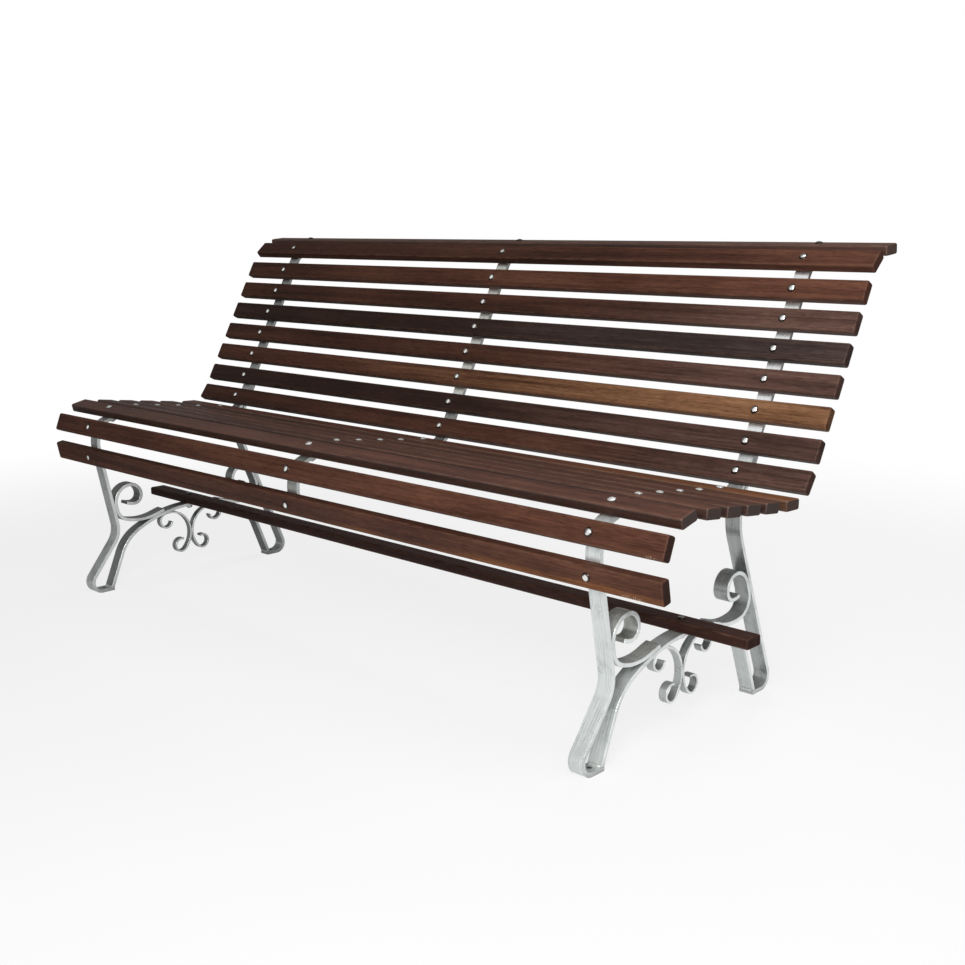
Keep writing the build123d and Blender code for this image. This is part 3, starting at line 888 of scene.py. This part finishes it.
@dataclass
class Slat:
    """One hardwood board with rounded edges and eased ends, in the place of its CAD node."""

    name: str
    finish: HardwoodFinish
    rounding: float = 4.5 * MILLIMETRE
    least_rounding: float = 0.8 * MILLIMETRE
    end_easing: float = 3.0 * MILLIMETRE
    corner_steps: int = 5
    end_steps: int = 3
    end_clearance: float = 10 * MILLIMETRE
    piece: bpy.types.Object = field(init=False)
    size: Vector = field(init=False)

    def build(self, node: bpy.types.Object) -> None:
        """Make the board where its CAD node lies.

        Args:
            node: The CAD node that the board stands for.
        """
        frame, holes, hole_width = self._read(node)
        mesh = self._mesh(holes, hole_width)
        self.piece = new_object(f"{self.name}_board", mesh)
        weigh_normals(self.piece)
        self.piece.matrix_world = frame
        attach(self.piece, BODY)
        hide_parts(self.name)

    def dress(self) -> None:
        """Give the board its own wood."""
        dress(self.piece, self.finish.build(f"{self.name}_wood", self.size, self.rounding))

    def _read(self, node: bpy.types.Object) -> tuple[Matrix, list[float], float]:
        """Measure the board's frame, size and holes on its CAD node.

        Args:
            node: The CAD node.

        Returns:
            The board's frame, the places of its holes along it and their width.
        """
        points = mesh_points(node)
        low, high = points.min(0), points.max(0)
        end_points = points[points[:, 0] > high[0] - READ_MARGIN]
        section = np.unique(np.round(end_points[:, 1:], ROUNDED_DIGITS), axis=0)
        outward = np.linalg.eigh(np.cov(section.T))[1][:, 0]
        if outward[1] - outward[0] < 0:
            outward = -outward
        across = np.array([outward[1], -outward[0]])
        spans = [(section @ axis).min() + (section @ axis).max() for axis in (across, outward)]
        centre = (across * spans[0] + outward * spans[1]) / 2
        self.size = Vector((high[0] - low[0], np.ptp(section @ across), np.ptp(section @ outward)))
        middle_x = (low[0] + high[0]) / 2
        frame = Matrix(
            (
                (1, 0, 0, middle_x),
                (0, across[0], outward[0], centre[0]),
                (0, across[1], outward[1], centre[1]),
                (0, 0, 0, 1),
            )
        )
        inner = points[np.abs((points[:, 1:] - centre) @ across) < self.size.y / 4]
        xs = np.unique(np.round(inner[:, 0], ROUNDED_DIGITS))
        xs = xs[np.abs(xs) < high[0] - self.end_clearance]
        pairs = xs.reshape(-1, 2)
        return frame, [float(pair.mean()) - middle_x for pair in pairs], float(np.ptp(pairs[0]))

    def _section(self, inset: float, hole_width: float) -> Profile:
        """Rounded outline of the board, with points where a hole's sides meet its two faces.

        Args:
            inset: How far the outline is drawn in all round.
            hole_width: Width of the bolt holes.

        Returns:
            The outline's points, anticlockwise from the right-hand point of the hole on the outer face.
        """
        wide = self.size.y / 2 - inset
        thick = self.size.z / 2 - inset
        radius = max(self.rounding - inset, self.least_rounding)
        outline = []
        for number, (side, face) in enumerate(((-1, 1), (-1, -1), (1, -1), (1, 1))):
            if number in (0, 2):
                outline += [(-side * hole_width / 2, face * thick), (side * hole_width / 2, face * thick)]
            for step in range(self.corner_steps + 1):
                angle = math.radians(90 * (number + 1 + step / self.corner_steps))
                turn = (math.cos(angle) * radius, math.sin(angle) * radius)
                outline.append((side * (wide - radius) + turn[0], face * (thick - radius) + turn[1]))
        return outline

    def _mesh(self, holes: Iterable[float], hole_width: float) -> bmesh.types.BMesh:
        """Board along x with its holes open.

        Args:
            holes: Places of the holes along the board.
            hole_width: Width of the holes.

        Returns:
            The board's mesh.
        """
        half = self.size.x / 2
        stations = []
        for step in range(self.end_steps + 1):
            angle = math.radians(90 * step / self.end_steps)
            inset = self.end_easing * (1 - math.sin(angle))
            stations.append((half - self.end_easing * (1 - math.cos(angle)), inset))
        ends = [(-x, inset) for x, inset in stations]
        middle = sorted(x + side * hole_width / 2 for x in holes for side in (-1, 1))
        stations = ends + [(x, 0.0) for x in middle] + stations[::-1]
        mesh = bmesh.new()
        rings = []
        for x, inset in stations:
            section = self._section(inset, hole_width)
            rings.append([mesh.verts.new((x, y, z)) for y, z in section])
        count = len(rings[0])
        low = count // 2
        first_hole = len(ends)
        for number, (ring, following) in enumerate(zip(rings, rings[1:])):
            station = number - first_hole
            is_hole = 0 <= station < len(middle) and station % 2 == 0
            for corner in range(count):
                if is_hole and corner in (0, low):
                    continue
                ahead = (corner + 1) % count
                mesh.faces.new((ring[corner], ring[ahead], following[ahead], following[corner]))
            if is_hole:
                top = [ring[0], following[0], following[1], ring[1]]
                bottom = [ring[low + 1], following[low + 1], following[low], ring[low]]
                for corner in range(4):
                    ahead = (corner + 1) % 4
                    mesh.faces.new((top[corner], bottom[corner], bottom[ahead], top[ahead]))
        mesh.faces.new(rings[0])
        mesh.faces.new(rings[-1][::-1])
        return mesh


@dataclass
class Slats:
    """All the boards of the bench and the wood that each was cut from."""

    boards: list[Slat] = field(default_factory=list)

    def build(self, nodes: dict[str, bpy.types.Object]) -> None:
        """Make and dress every board.

        Args:
            nodes: The CAD nodes by name.
        """
        wood = self._woods()
        for name in sorted(wood):
            board = Slat(name, wood[name])
            board.build(nodes[name])
            board.dress()
            self.boards.append(board)
            LOG.info("board %s", board.piece.name)

    @staticmethod
    def _woods() -> dict[str, HardwoodFinish]:
        """The wood of each board, with its painted light and shade, by the name of its CAD node."""
        apron = partial(HardwoodFinish, CHESTNUT, end_grime=0.8)
        # Seat boards take painted shade on their side faces
        seat = partial(HardwoodFinish, polish=0.5, side_painted_shade=0.45, end_grime=0.9)
        lower_scuffs = (Scuff(0.834, -0.024, 0.016), Scuff(0.851, -0.02, 0.01))
        upper_scuffs = (Scuff(0.875, -0.024, 0.01), Scuff(0.84, 0.03, 0.012))
        return {
            "apron_slat_lower": apron(low_tone=AMBER, scuffs=lower_scuffs, seed=31),
            "apron_slat_upper": apron(scuffs=upper_scuffs, seed=32),
            "top_rail": HardwoodFinish(polish=0.5, seed=48),
            # Second tones, lighter towards +x, are partly each board's own tone and partly painted light
            "back_slat_1": HardwoodFinish(UMBER, CHESTNUT, 0.3, 1.0, seed=45),
            "back_slat_2": HardwoodFinish(UMBER, CHESTNUT, -1.0, 0.1, seed=33),
            "back_slat_3": HardwoodFinish(UMBER, DUSK, 0.1, 0.9, seed=46),
            "back_slat_4": HardwoodFinish(EBONY, SLATE, -0.3, 0.5, seed=34),
            "back_slat_5": HardwoodFinish(UMBER, DUSK, 0.1, 0.9, seed=35),
            "back_slat_6": HardwoodFinish(CHESTNUT, HONEY, -0.5, 0.6, seed=36),
            "back_slat_7": HardwoodFinish(EBONY, DUSK, 0.0, 1.1, seed=37),
            "back_slat_8": HardwoodFinish(UMBER, DUSK, 0.2, 0.9, seed=47),
            # The stretcher's darker wood is painted shade from the apron above it
            "stretcher": HardwoodFinish(PLUM_IN_SHADOW, seed=44),
            # The seat boards' second tones are likewise partly painted light towards +x
            "seat_slat_1": seat(CHESTNUT, seed=39),
            "seat_slat_2": seat(UMBER, CHESTNUT, -0.2, 0.7, seed=40),
            "seat_slat_3": seat(UMBER, CHESTNUT, -0.9, 0.6, seed=41),
            "seat_slat_4": seat(CHESTNUT, seed=42),
            "seat_slat_5": seat(UMBER, CHESTNUT, -0.4, 0.8, seed=43),
            "seat_slat_6": seat(CHESTNUT, AMBER, 0.0, 0.9, seed=38),
        }


# Fasteners


@dataclass
class Fasteners:
    """Coach bolts and hexagon nuts of one zone of slats."""

    zone: str
    sides: int = 24
    dome_steps: int = 6
    dome_inset: float = 0.1 * MILLIMETRE
    dome_tip: float = 0.35 * MILLIMETRE
    rim: float = 0.5 * MILLIMETRE
    rim_inset: float = 0.4
    rim_level: float = 0.5
    thread_pitch: float = 1.25 * MILLIMETRE
    thread_depth: float = 0.6 * MILLIMETRE
    thread_turns: int = 8
    rows_in_turn: int = 4
    point_depths: tuple[float, float] = (1.4, 0.6)
    point_rise: float = 0.8
    bore: float = 3.6 * MILLIMETRE
    bore_play: float = 0.1 * MILLIMETRE
    nut_sides: int = 48
    nut_face: float = 0.97
    nut_chamfer: float = math.radians(30)
    pieces: list[bpy.types.Object] = field(default_factory=list)

    def build(self, nodes: dict[str, bpy.types.Object]) -> None:
        """Make the zone's bolts and nuts where their CAD nodes lie.

        Args:
            nodes: The CAD nodes by name.
        """
        bolts = bmesh.new()
        bolts.verts.layers.float.new(RIM_LAYER)
        axes = []
        for points in islands(nodes[f"{self.zone}_bolts"]):
            frame, radius, height, length = self._read_bolt(points)
            axes.append(frame)
            self._add_bolt(bolts, frame, radius, height, length)
        self._keep(new_object(f"{self.zone}_coach_bolts", bolts), f"{self.zone}_bolts")
        nuts = bmesh.new()
        for points in islands(nodes[f"{self.zone}_nuts"]):
            centre = Vector(points.mean(0))
            frame = min(axes, key=lambda axis: self._off_axis(axis, centre))
            self._add_nut(nuts, frame, points)
        self._keep(new_object(f"{self.zone}_hex_nuts", nuts), f"{self.zone}_nuts")

    def dress(self, polished: bpy.types.Material, zinc: bpy.types.Material) -> None:
        """Give the bolts and the nuts their metals.

        Args:
            polished: Finish of the bolts.
            zinc: Finish of the nuts.
        """
        for piece, material in zip(self.pieces, (polished, zinc)):
            dress(piece, material)
            weigh_normals(piece)

    def _keep(self, piece: bpy.types.Object, node: str) -> None:
        """Put a finished piece in the place of its CAD node."""
        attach(piece, BODY)
        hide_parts(node)
        self.pieces.append(piece)

    @staticmethod
    def _off_axis(frame: Matrix, point: Vector) -> float:
        """Distance of a point from a bolt's axis."""
        local = frame.inverted() @ point
        return math.hypot(local.x, local.y)

    @staticmethod
    def _read_bolt(points: np.ndarray) -> tuple[Matrix, float, float, float]:
        """Measure one bolt on its CAD points.

        Args:
            points: Points of the bolt's solid.

        Returns:
            Frame on the head's seat with z out through the head, head radius, head height and shank length.
        """
        axis = np.linalg.eigh(np.cov(points.T))[1][:, 2]
        middle = points.mean(0)
        places = (points - middle) @ axis
        if places[np.argsort(places)[len(places) // 2]] < (places.min() + places.max()) / 2:
            axis, places = -axis, -places
        shank = points[places < places.min() + READ_MARGIN].mean(0)
        offsets = points - shank
        heights = offsets @ axis
        radii = np.linalg.norm(offsets - np.outer(heights, axis), axis=1)
        seat = heights[radii > radii.max() - READ_MARGIN].min()
        z_axis = Vector(axis)
        x_axis = Vector((1, 0, 0))
        y_axis = z_axis.cross(x_axis).normalized()
        frame = Matrix((x_axis, y_axis, z_axis)).transposed().to_4x4()
        frame.translation = Vector(shank + axis * seat)
        return frame, float(radii.max()), float(heights.max() - seat), float(seat)

    def _even(self, radius: float, height: float) -> Ring:
        """A level ring."""
        return [(radius, height)] * self.sides

    def _add_bolt(
        self, mesh: bmesh.types.BMesh, frame: Matrix, radius: float, height: float, length: float
    ) -> None:
        """Add one coach bolt: threaded end, shank and domed head.

        Args:
            mesh: Where the bolt goes.
            frame: Frame on the head's seat.
            radius: Radius of the head.
            height: Height of the head.
            length: Length of the shank.
        """
        first = len(mesh.verts)
        rows = add_rings(mesh, frame, self._shank_rings(length) + self._head_rings(radius, height))
        stitch(mesh, rows)
        mesh.faces.new(rows[0][::-1])
        mesh.faces.new(rows[-1])
        mesh.verts.ensure_lookup_table()
        rim = mesh.verts.layers.float[RIM_LAYER]
        inward = frame.inverted()
        for vertex in mesh.verts[first:]:
            place = inward @ vertex.co
            vertex[rim] = math.hypot(place.x, place.y) / radius if place.z > 0 else 0.0

    def _shank_rings(self, length: float) -> list[Ring]:
        """Rings of a shank from its pointed end over the thread to the head's seat.

        Args:
            length: Length of the shank.

        Returns:
            The rings, upwards.
        """
        shank = self.bore - self.bore_play
        tip, shoulder = (shank - self.thread_depth * part for part in self.point_depths)
        rings = [
            self._even(tip, -length),
            self._even(shoulder, -length + self.thread_depth * self.point_rise),
        ]
        thread_top = -length + self.thread_turns * self.thread_pitch
        rows = self.thread_turns * self.rows_in_turn
        for row in range(1, rows):
            level = -length + self.thread_depth + (thread_top + length - self.thread_depth) * row / rows
            ring = []
            for side in range(self.sides):
                phase = (level / self.thread_pitch - side / self.sides) % 1
                ring.append((shank - self.thread_depth * abs(2 * phase - 1), level))
            rings.append(ring)
        return rings + [self._even(shank, thread_top), self._even(shank, 0.0)]

    def _head_rings(self, radius: float, height: float) -> list[Ring]:
        """Rings of a domed head.

        Args:
            radius: Radius of the head.
            height: Height of the head.

        Returns:
            The rings from the seat to the crown.
        """
        rings = [
            self._even(radius - self.rim * self.rim_inset, 0.0),
            self._even(radius, self.rim * self.rim_level),
        ]
        crown = height - self.rim
        curve = (radius**2 + crown**2) / (2 * crown)
        reach = math.asin(radius / curve)
        for step in range(self.dome_steps):
            angle = reach * (1 - step / self.dome_steps)
            inset = self.dome_inset if step == 0 else 0.0
            rings.append(self._even(curve * math.sin(angle) - inset, height - curve * (1 - math.cos(angle))))
        return rings + [self._even(self.dome_tip, height)]

    def _add_nut(self, mesh: bmesh.types.BMesh, frame: Matrix, points: np.ndarray) -> None:
        """Add one hexagon nut with turned-off corners and an open bore.

        Args:
            mesh: Where the nut goes.
            frame: Frame of the nut's bolt.
            points: Points of the nut's CAD solid.
        """
        half_side = math.pi / 6
        local = [frame.inverted() @ Vector(point) for point in points]
        low = min(point.z for point in local)
        high = max(point.z for point in local)
        tip = max(local, key=lambda point: math.hypot(point.x, point.y))
        flat = math.hypot(tip.x, tip.y) * math.cos(half_side)
        turn = math.atan2(tip.y, tip.x)
        outline = []
        for side in range(self.nut_sides):
            angle = (2 * math.pi * side / self.nut_sides - turn + half_side) % (2 * half_side) - half_side
            outline.append(flat / math.cos(half_side - abs(angle)))
        slope = math.tan(self.nut_chamfer)
        face_radius = flat * self.nut_face
        rings = []
        for level, way in ((low, 1), (high, -1)):
            face = [(face_radius, level)] * self.nut_sides
            shoulder = [(r, level + way * max(0.0, r - face_radius) * slope) for r in outline]
            rings += [face, shoulder] if way > 0 else [shoulder, face]
        rings += [[(self.bore, level)] * self.nut_sides for level in (high, low)]
        rows = add_rings(mesh, frame, rings)
        stitch(mesh, rows + rows[:1])


# Metal frames


# Rounding of a bar's edges: radius, steps, and the angle from which an edge counts, or two faces are one
EDGE_RADIUS = 1.1 * MILLIMETRE
EDGE_SEGMENTS = 3
EDGE_ANGLE = math.radians(40)
FLAT_ANGLE = math.radians(0.4)


def soften(node: bpy.types.Object) -> None:
    """Round a bar's sharp edges by modifiers, leaving its own mesh as it is.

    Args:
        node: The CAD node of a bar.
    """
    node.data.shade_smooth()
    weld = node.modifiers.new("joined", "WELD")
    weld.merge_threshold = SAME_POINT
    flat = node.modifiers.new("flats", "DECIMATE")
    flat.decimate_type = "DISSOLVE"
    flat.angle_limit = FLAT_ANGLE
    bevel = node.modifiers.new("round_edges", "BEVEL")
    bevel.width = EDGE_RADIUS
    bevel.segments = EDGE_SEGMENTS
    bevel.limit_method = "ANGLE"
    bevel.angle_limit = EDGE_ANGLE
    weigh_normals(node)


@dataclass(frozen=True)
class FramePaintedShade:
    """Painted shade of each bar's broad faces, their painted shade above the seat, and how much painted
    highlight brightens them there.
    """

    bar_painted_shades: dict[str, float]
    upper: float
    painted_gleam: float


# Painted shade and painted highlight of each end frame's bars; the left frame is painted darker
LEFT_PAINTED_SHADE = FramePaintedShade(
    {
        "seat_bar": 0.9,
        "rear_leg": 0.7,
        "arch": 0.4,
        "front_scroll": 0.44,
        "rear_scroll": 0.42,
        "front_c_scroll": 0.52,
        "rear_c_scroll": 0.48,
    },
    upper=0.7,
    painted_gleam=0.0,
)
RIGHT_PAINTED_SHADE = FramePaintedShade(
    {
        "seat_bar": 1.0,
        "rear_leg": 0.62,
        "arch": 0.84,
        "front_scroll": 0.8,
        "rear_scroll": 0.52,
        "front_c_scroll": 0.62,
        "rear_c_scroll": 0.5,
    },
    upper=1.0,
    painted_gleam=0.8,
)


@dataclass
class EndFrame:
    """Bars of one end frame, with rounded edges and weld metal where they meet."""

    side: Side
    # Painted shade and painted highlight of the frame's bars
    tone: FramePaintedShade
    bead_radius: float = 2.6 * MILLIMETRE
    bead_gap: tuple[float, float] = (1.6 * MILLIMETRE, 2.8 * MILLIMETRE)
    bead_margin: float = 2.0 * MILLIMETRE
    bead_sides: int = 10
    bead_pitch: float = 1.6 * MILLIMETRE
    bead_taper: int = 2
    bead_tip: float = 0.15
    bead_lumps: tuple[float, float] = (0.86, 1.12)
    welded: tuple[tuple[str, str], ...] = (
        ("front_scroll", "seat_bar"),
        ("front_scroll", "arch"),
        ("rear_scroll", "rear_leg"),
        ("rear_scroll", "arch"),
        ("arch", "seat_bar"),
        ("arch", "rear_leg"),
        ("front_c_scroll", "rear_c_scroll"),
        ("front_c_scroll", "arch"),
        ("rear_c_scroll", "arch"),
    )
    olive_bars: tuple[str, ...] = ("front_scroll",)
    olive: Colour = (1.0, 1.0, 0.96)
    blue: Colour = (0.985, 1.0, 1.0)

    def dress(self, nodes: dict[str, bpy.types.Object]) -> None:
        """Round the bars' edges and give each its own zinc, with painted shade and painted highlight.

        Args:
            nodes: The CAD nodes by name.
        """
        for bar, shade in self.tone.bar_painted_shades.items():
            name = f"{self.side.value}_{bar}"
            soften(nodes[name])
            finish = GalvanisedFinish(
                broad_painted_shade=shade,
                upper_painted_shade=self.tone.upper,
                painted_gleam=self.tone.painted_gleam,
                patina=self.olive if bar in self.olive_bars else self.blue,
            )
            dress(nodes[name], finish.build(f"{name}_zinc"))
            LOG.info("bar %s", name)

    def weld(self, nodes: dict[str, bpy.types.Object], zinc: bpy.types.Material) -> None:
        """Lay weld metal in the corners between the bars that touch.

        Args:
            nodes: The CAD nodes by name.
            zinc: Finish of the weld metal.
        """
        mesh = bmesh.new()
        draw = random.Random(self.side.value)
        for pair in self.welded:
            first, second = (nodes[f"{self.side.value}_{bar}"] for bar in pair)
            corners = self._corners(outline_points(first), outline_points(second))
            spans = [mesh_points(node)[:, 0] for node in (first, second)]
            low = max(span.min() for span in spans) + self.bead_margin
            high = min(span.max() for span in spans) - self.bead_margin
            for corner in corners:
                self._add_bead(mesh, corner, low, high, draw)
            LOG.info("welds of %s to %s: %d", *pair, len(corners))
        piece = new_object(f"{self.side.value}_weld_metal", mesh)
        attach(piece, BODY)
        dress(piece, zinc)

    def _corners(self, first: np.ndarray, second: np.ndarray) -> list[np.ndarray]:
        """Places where the outlines of two touching bars have just parted.

        Args:
            first: Points of one outline.
            second: Points of the other outline.

        Returns:
            One point for each corner between the bars.
        """
        gaps = np.linalg.norm(first[:, None] - second[None], axis=2)
        nearest = gaps.argmin(1)
        gap = gaps.min(1)
        parted = (gap > self.bead_gap[0]) & (gap < self.bead_gap[1])
        found: list[list[np.ndarray]] = []
        for point in (first[parted] + second[nearest[parted]]) / 2:
            for group in found:
                if np.linalg.norm(group[-1] - point) < 2 * self.bead_radius:
                    group.append(point)
                    break
            else:
                found.append([point])
        return [np.mean(group, axis=0) for group in found]

    def _add_bead(
        self, mesh: bmesh.types.BMesh, corner: np.ndarray, low: float, high: float, draw: random.Random
    ) -> None:
        """Add one lumpy bead across the bars.

        Args:
            mesh: The mesh that takes it.
            corner: Its place in y and z.
            low: Its lowest x.
            high: Its highest x.
            draw: Source of its lumps.
        """
        count = round((high - low) / self.bead_pitch)
        turns = [2 * math.pi * side / self.bead_sides for side in range(self.bead_sides)]
        rows = []
        for step in range(count + 1):
            from_end = min(step, count - step, self.bead_taper) / self.bead_taper
            swell = math.sqrt(max(math.sin(math.pi / 2 * from_end), self.bead_tip))
            radius = self.bead_radius * swell * draw.uniform(*self.bead_lumps)
            x = low + (high - low) * step / count
            ring = [(x, corner[0] + math.cos(t) * radius, corner[1] + math.sin(t) * radius) for t in turns]
            rows.append([mesh.verts.new(point) for point in ring])
        stitch(mesh, rows)
        mesh.faces.new(rows[0])
        mesh.faces.new(rows[-1])


@dataclass
class MiddleSupport:
    """The bar that carries the slats halfway between the end frames."""

    name: str = "middle_support"
    # Its zinc takes painted shade on the broad faces
    finish: GalvanisedFinish = GalvanisedFinish(broad_painted_shade=0.55)

    def dress(self, nodes: dict[str, bpy.types.Object]) -> None:
        """Round the bar's edges and give it its zinc."""
        soften(nodes[self.name])
        dress(nodes[self.name], self.finish.build(f"{self.name}_zinc"))
        LOG.info("bar %s", self.name)


# Studio


@dataclass(frozen=True)
class Softbox:
    """One square lamp: where it stands, the point it faces, its side, its power and if metal shows it."""

    name: str
    place: tuple[float, float, float]
    aim: tuple[float, float, float]
    side: float
    watts: float
    mirrored: bool = True

    def build(self) -> None:
        """Add the lamp to the scene."""
        data = bpy.data.lights.new(self.name, "AREA")
        data.size = self.side
        data.energy = self.watts
        lamp = bpy.data.objects.new(self.name, data)
        lamp.location = self.place
        lamp.rotation_euler = (Vector(self.aim) - Vector(self.place)).to_track_quat("-Z", "Y").to_euler()
        lamp.visible_camera = False
        lamp.visible_glossy = self.mirrored
        bpy.context.scene.collection.objects.link(lamp)


@dataclass
class Studio:
    """Pale floor, soft lights and the camera.

    The camera sees floor and surroundings as white. Metal mirrors them bright on the camera's side, and dim on
    the other side.
    """

    camera_place: Vector = field(default_factory=lambda: Vector((1.89388, -1.81705, 0.86244)))
    camera_forward: Vector = field(default_factory=lambda: Vector((-0.66667, 0.71823, -0.19924)))
    camera_roll: float = math.radians(0.231)
    lens: float = 45.61
    sensor: float = 36.0
    floor_reach: float = 30.0
    floor_levels: tuple[float, float] = (0.56, 0.62)
    floor_seen_level: float = 0.95
    floor_speckle: Grain = Grain((3, 3, 3), 2, 0.5)
    floor_glow: float = 0.8
    shadow_span: tuple[float, float] = (1.3, 2.86)
    lit_floor_side: tuple[float, float, float] = (0.75, -0.65, 0.0)
    lit_floor_span: tuple[float, float] = (-1.0, 0.5)
    floor_mirror_glow: tuple[float, float] = (0.05, 0.95)
    fill_level: float = 0.04
    lamps: tuple[Softbox, ...] = (
        Softbox("key_softbox", (1.75, -1.95, 1.4), (1.0, -0.1, 0.45), 1.1, 43),
        Softbox("top_softbox", (1.5, -0.1, 2.4), (0.4, -0.1, 0.4), 1.5, 22),
        Softbox("back_softbox", (-0.7, 2.5, 2.0), (-0.1, 0.1, 0.4), 1.4, 26, mirrored=False),
    )
    bright_side: tuple[float, float, float] = (0.629, -0.777, 0.0)
    bright_span: tuple[float, float] = (-0.15, 0.15)
    dim_level: float = 0.2

    def build(self) -> None:
        """Set up floor, world, lights and camera."""
        bpy.context.scene.view_settings.view_transform = "Standard"
        self._floor()
        self._world()
        for lamp in self.lamps:
            lamp.build()
        self._camera()

    def _floor(self) -> None:
        """Add the floor, which is white to the eye and keeps the shadow."""
        mesh = bmesh.new()
        bmesh.ops.create_grid(mesh, x_segments=1, y_segments=1, size=self.floor_reach)
        floor = new_object("floor", mesh)
        graph = ShaderGraph("pale_floor")
        place = graph.coordinates()
        camera, mirrored = self._seen(graph)
        low, high, seen = ((level,) * 3 for level in (*self.floor_levels, self.floor_seen_level))
        colour = graph.blend(low, high, graph.noise(place, self.floor_speckle))
        colour = graph.blend(colour, seen, camera)
        matt = graph.node("ShaderNodeBsdfDiffuse", sockets={"Color": colour})
        glow = graph.node("ShaderNodeEmission", sockets={"Color": (1, 1, 1, 1), "Strength": 1.0})
        distance = graph.node("ShaderNodeVectorMath", {"operation": "LENGTH"}, {0: place}, output="Value")
        away = graph.ease(distance, *self.shadow_span)
        side = graph.along(place, self.lit_floor_side)
        least, most = self.floor_mirror_glow
        mirror_glow = graph.ease(side, *self.lit_floor_span) * (most - least) + least
        near = camera * self.floor_glow
        share = near + (camera - near) * away + mirrored * mirror_glow
        shader = graph.node("ShaderNodeMixShader", sockets={0: share, 1: matt, 2: glow})
        dress(floor, graph.surface(shader))

    @staticmethod
    def _seen(graph: ShaderGraph) -> tuple[Link, Link]:
        """Rays by which the background is seen.

        Args:
            graph: The material or world that asks.

        Returns:
            1 on rays straight from the camera, and 1 on rays by way of metal or glass.
        """
        outputs = graph.make("ShaderNodeLightPath").outputs
        names = ("Is Camera Ray", "Is Glossy Ray", "Is Transmission Ray")
        camera, glossy, through = (Link(graph, outputs[name]) for name in names)
        return camera, glossy.at_least(through)

    def _world(self) -> None:
        """White where the camera sees it, bright on one side in metal, and faint where it lights the bench."""
        world = bpy.data.worlds.new("studio_world")
        bpy.context.scene.world = world
        world.use_nodes = True
        graph = ShaderGraph.of_tree(world.node_tree)
        camera, mirrored = self._seen(graph)
        outward = graph.node("ShaderNodeTexCoord", output="Generated")
        bright = graph.ease(graph.along(outward, self.bright_side), *self.bright_span).at_least(camera)
        wall = graph.blend((self.dim_level,) * 3, (1, 1, 1), bright)
        sockets = {"Color": (1, 1, 1, 1), "Strength": self.fill_level}
        light = graph.node("ShaderNodeBackground", sockets=sockets)
        white = graph.node("ShaderNodeBackground", sockets={"Color": wall, "Strength": 1.0})
        shader = graph.node("ShaderNodeMixShader", sockets={0: camera.at_least(mirrored), 1: light, 2: white})
        graph.finish("ShaderNodeOutputWorld", shader)

    def _camera(self) -> None:
        """Add the camera at the viewing angle."""
        data = bpy.data.cameras.new("camera")
        data.lens = self.lens
        data.sensor_width = self.sensor
        camera = bpy.data.objects.new("camera", data)
        back = -self.camera_forward.normalized()
        right = Vector((0, 0, 1)).cross(back).normalized()
        up = back.cross(right)
        level = Matrix((right, up, back)).transposed()
        camera.matrix_world = Matrix.Translation(self.camera_place) @ (
            level @ Matrix.Rotation(self.camera_roll, 3, "Z")
        ).to_4x4()
        bpy.context.scene.collection.objects.link(camera)
        bpy.context.scene.camera = camera


def main() -> None:
    """Build the bench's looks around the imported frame."""
    logging.basicConfig(level=logging.INFO, format="%(name)s: %(message)s")
    for old in list(bpy.data.objects):
        bpy.data.objects.remove(old)
    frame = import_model()
    nodes = frame["nodes"]
    Slats().build(nodes)
    polished = POLISHED_STEEL.build("polished_steel")
    painted_sky = PAINTED_SKY_STEEL.build("rubbed_steel")
    zinc = ZINC_PLATE.build("zinc_plate")
    for zone in ("top_rail", "back", "seat", "apron", "stretcher"):
        fasteners = Fasteners(zone)
        fasteners.build(nodes)
        # The seat bolts take the paler copy of the steel, a painted reflection of bright sky
        fasteners.dress(painted_sky if zone == "seat" else polished, zinc)
        LOG.info("fasteners of the %s", zone)
    # The weld metal's zinc, with painted shade in its corners and a painted highlight above the seat
    galvanised = GalvanisedFinish().build("galvanised_zinc")
    # Each end frame takes its own painted shade and painted highlight
    for side, tone in ((Side.LEFT, LEFT_PAINTED_SHADE), (Side.RIGHT, RIGHT_PAINTED_SHADE)):
        end_frame = EndFrame(side, tone)
        end_frame.dress(nodes)
        end_frame.weld(nodes, galvanised)
    MiddleSupport().dress(nodes)
    Studio().build()


if __name__ == "__main__":
    main()
